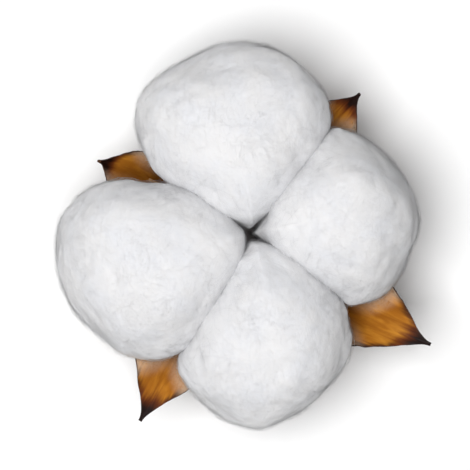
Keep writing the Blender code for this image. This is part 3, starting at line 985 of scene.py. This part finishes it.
def tubes(name, paths, facing, kinds):
    """One mesh of thin tapering tubes along the paths, each shaded like the surface under it.

    A real fibre lets light through and takes on the brightness of the cotton that it lies on.
    """
    count, steps, _ = paths.shape
    tangents = unit(np.gradient(paths, axis=1))
    side = unit(np.cross(tangents, np.array((0.3, 0.5, 0.81))))
    other = np.cross(tangents, side)
    taper = np.linspace(1.0, FIBRE_TIP_SHARE, steps)[None, :, None, None] * FIBRE_RADIUS
    angles = 2.0 * math.pi * np.arange(FIBRE_SIDES) / FIBRE_SIDES
    ring = side[:, :, None, :] * np.cos(angles)[:, None] + other[:, :, None, :] * np.sin(angles)[:, None]
    points = (paths[:, :, None, :] + ring * taper).reshape(-1, 3)
    fibre = np.arange(count)[:, None, None] * steps * FIBRE_SIDES
    low = fibre + np.arange(steps - 1)[None, :, None] * FIBRE_SIDES
    here = np.arange(FIBRE_SIDES)[None, None, :]
    after = (here + 1) % FIBRE_SIDES
    sides = np.stack((low + here, low + after, low + FIBRE_SIDES + after, low + FIBRE_SIDES + here), axis=-1)
    starts = fibre[..., 0] + np.arange(FIBRE_SIDES - 1, -1, -1)[None, :]
    ends = fibre[..., 0] + (steps - 1) * FIBRE_SIDES + np.arange(FIBRE_SIDES)[None, :]
    mesh = bpy.data.meshes.new(name)
    mesh.from_pydata(points.tolist(), [], sides.reshape(-1, 4).tolist() + starts.tolist() + ends.tolist())
    of_sides = np.repeat(kinds, (steps - 1) * FIBRE_SIDES)
    mesh.polygons.foreach_set("material_index", np.concatenate((of_sides, kinds, kinds)).astype(np.int32))
    mesh.shade_smooth()
    own = np.broadcast_to(ring, (count, steps, FIBRE_SIDES, 3)).reshape(-1, 3)
    under = np.repeat(facing.reshape(-1, 3), FIBRE_SIDES, axis=0)
    mesh.normals_split_custom_set_from_vertices(unit(mix(under, own, FIBRE_OWN_SHADE)).tolist())
    return link(name, mesh)


def make_fibres(node, seed, trees, bur_tree, flat_bur, materials):
    """Loose fibres on the open side of one lock. A share takes the painted shade or the brown of its place;
    the brown is partly a real stain and partly painted bounce light.
    """
    draw = np.random.default_rng(seed)
    spots, normals = surface_samples(bpy.data.objects[node + "_cotton"].data, 2 * FIBRES, draw)
    others = [tree for other, tree in trees.items() if other != node]
    open_air = exposed(spots, normals, others + [bur_tree])
    paths, facing = fibre_paths(spots[open_air], normals[open_air], trees[node], draw)
    away = distances(paths.reshape(-1, 3), bur_tree, CLEAR_OF_BUR).reshape(paths.shape[:2])
    clear = away.min(axis=1) >= CLEAR_OF_BUR
    paths, facing = paths[clear][:FIBRES], facing[clear][:FIBRES]
    middles, chance = paths.mean(axis=1), draw.random(len(paths))
    # Brown next to the bur, partly a real stain and partly painted bounce light.
    stain_and_bounce = bur_stain_and_bounce(middles, flat_bur)
    in_shade = chance < stain_and_bounce + seam_shade(middles)
    kinds = np.where(chance < stain_and_bounce, STAINED_AND_BOUNCE_LIT, np.where(in_shade, SHADED, CLEAN))
    obj = tubes(node + "_fibres", paths, facing, kinds)
    for material in materials:
        obj.data.materials.append(material)
    return add_piece(obj, [node])


def make_cotton(bur):
    """The four locks, then the loose fibres on each, kept off what another piece covers."""
    bur_tree = tree_of(bur.data)
    flat_bur = tree_of(bur.data, (1.0, 1.0, STAIN_AND_BOUNCE_FLATTEN))
    cotton = cotton_material()
    nodes = sorted(name for name in frame["nodes"] if name.startswith("lock_"))
    trees = {}
    for seed, node in enumerate(nodes, start=1):
        trees[node] = tree_of(make_lock(node, seed, cotton, flat_bur).data)
    bur_points = vectors_of(bur.data, "co")
    off = np.min([distances(bur_points, tree, LINT_WIDTH[1]) for tree in trees.values()], axis=0)
    store(bur.data, "lint", LINT * (1.0 - smooth(*LINT_WIDTH, off)))
    # Fibre colours: clean, in painted shade, and browned next to the bur, partly by a real stain and partly
    # by painted bounce light.
    kinds = {CLEAN: FIBRE_WHITE, SHADED: FIBRE_IN_SHADE, STAINED_AND_BOUNCE_LIT: FIBRE_STAIN_AND_BOUNCE}
    names = {CLEAN: "cotton_fibre", SHADED: "cotton_fibre_shaded", STAINED_AND_BOUNCE_LIT: "cotton_fibre_stained_and_bounce_lit"}
    fibres = [fibre_material(names[kind], kinds[kind]) for kind in sorted(kinds)]
    for seed, node in enumerate(nodes, start=1):
        make_fibres(node, seed, trees, bur_tree, flat_bur, fibres)


# The studio

def make_floor():
    """A plain floor, see-through from below so that the underside can be looked at."""
    bm = bmesh.new()
    bmesh.ops.create_circle(bm, cap_ends=True, segments=FLOOR_SIDES, radius=FLOOR_RADIUS)
    floor = object_from(bm, "floor")
    made, tree, shader = new_material("floor", Base_Color=(*FLOOR_WHITE, 1.0), Roughness=0.9)
    see_through = add_node(tree, "ShaderNodeBsdfTransparent")
    behind = add_node(tree, "ShaderNodeNewGeometry")
    either = add_node(tree, "ShaderNodeMixShader")
    outputs = (behind.outputs["Backfacing"], shader.outputs[0], see_through.outputs[0])
    for socket, output in zip(either.inputs, outputs):
        tree.links.new(output, socket)
    tree.links.new(either.outputs[0], tree.nodes["Material Output"].inputs["Surface"])
    floor.data.materials.append(made)


def make_lights():
    scene = bpy.context.scene
    scene.world = bpy.data.worlds.new("studio")
    scene.world.use_nodes = True
    sky = scene.world.node_tree.nodes["Background"]
    sky.inputs["Color"].default_value = (1.0, 1.0, 1.0, 1.0)
    sky.inputs["Strength"].default_value = SKY_STRENGTH
    lamp = bpy.data.lights.new("overhead", "AREA")
    lamp.shape = "DISK"
    lamp.size = LAMP_SIZE
    lamp.energy = LAMP_POWER
    obj = link("overhead", lamp)
    obj.location = LAMP_PLACE
    obj.rotation_euler = (Vector(LAMP_TARGET) - Vector(LAMP_PLACE)).to_track_quat("-Z", "Y").to_euler()


def make_camera():
    data = bpy.data.cameras.new("camera")
    data.lens = LENS
    data.clip_start, data.clip_end = CLIP
    camera = link("camera", data)
    distance = VIEW_WIDTH / 2.0 / (data.sensor_width / 2.0 / LENS)
    camera.location = Vector(VIEW_CENTRE) + Vector((0.0, 0.0, distance))
    bpy.context.scene.camera = camera
    bpy.context.scene.view_settings.view_transform = "Standard"


noise.seed_set(NOISE_SEED)
bur_piece = make_bur()
make_webs()
make_calyx()
make_cotton(bur_piece)
make_floor()
make_lights()
make_camera()
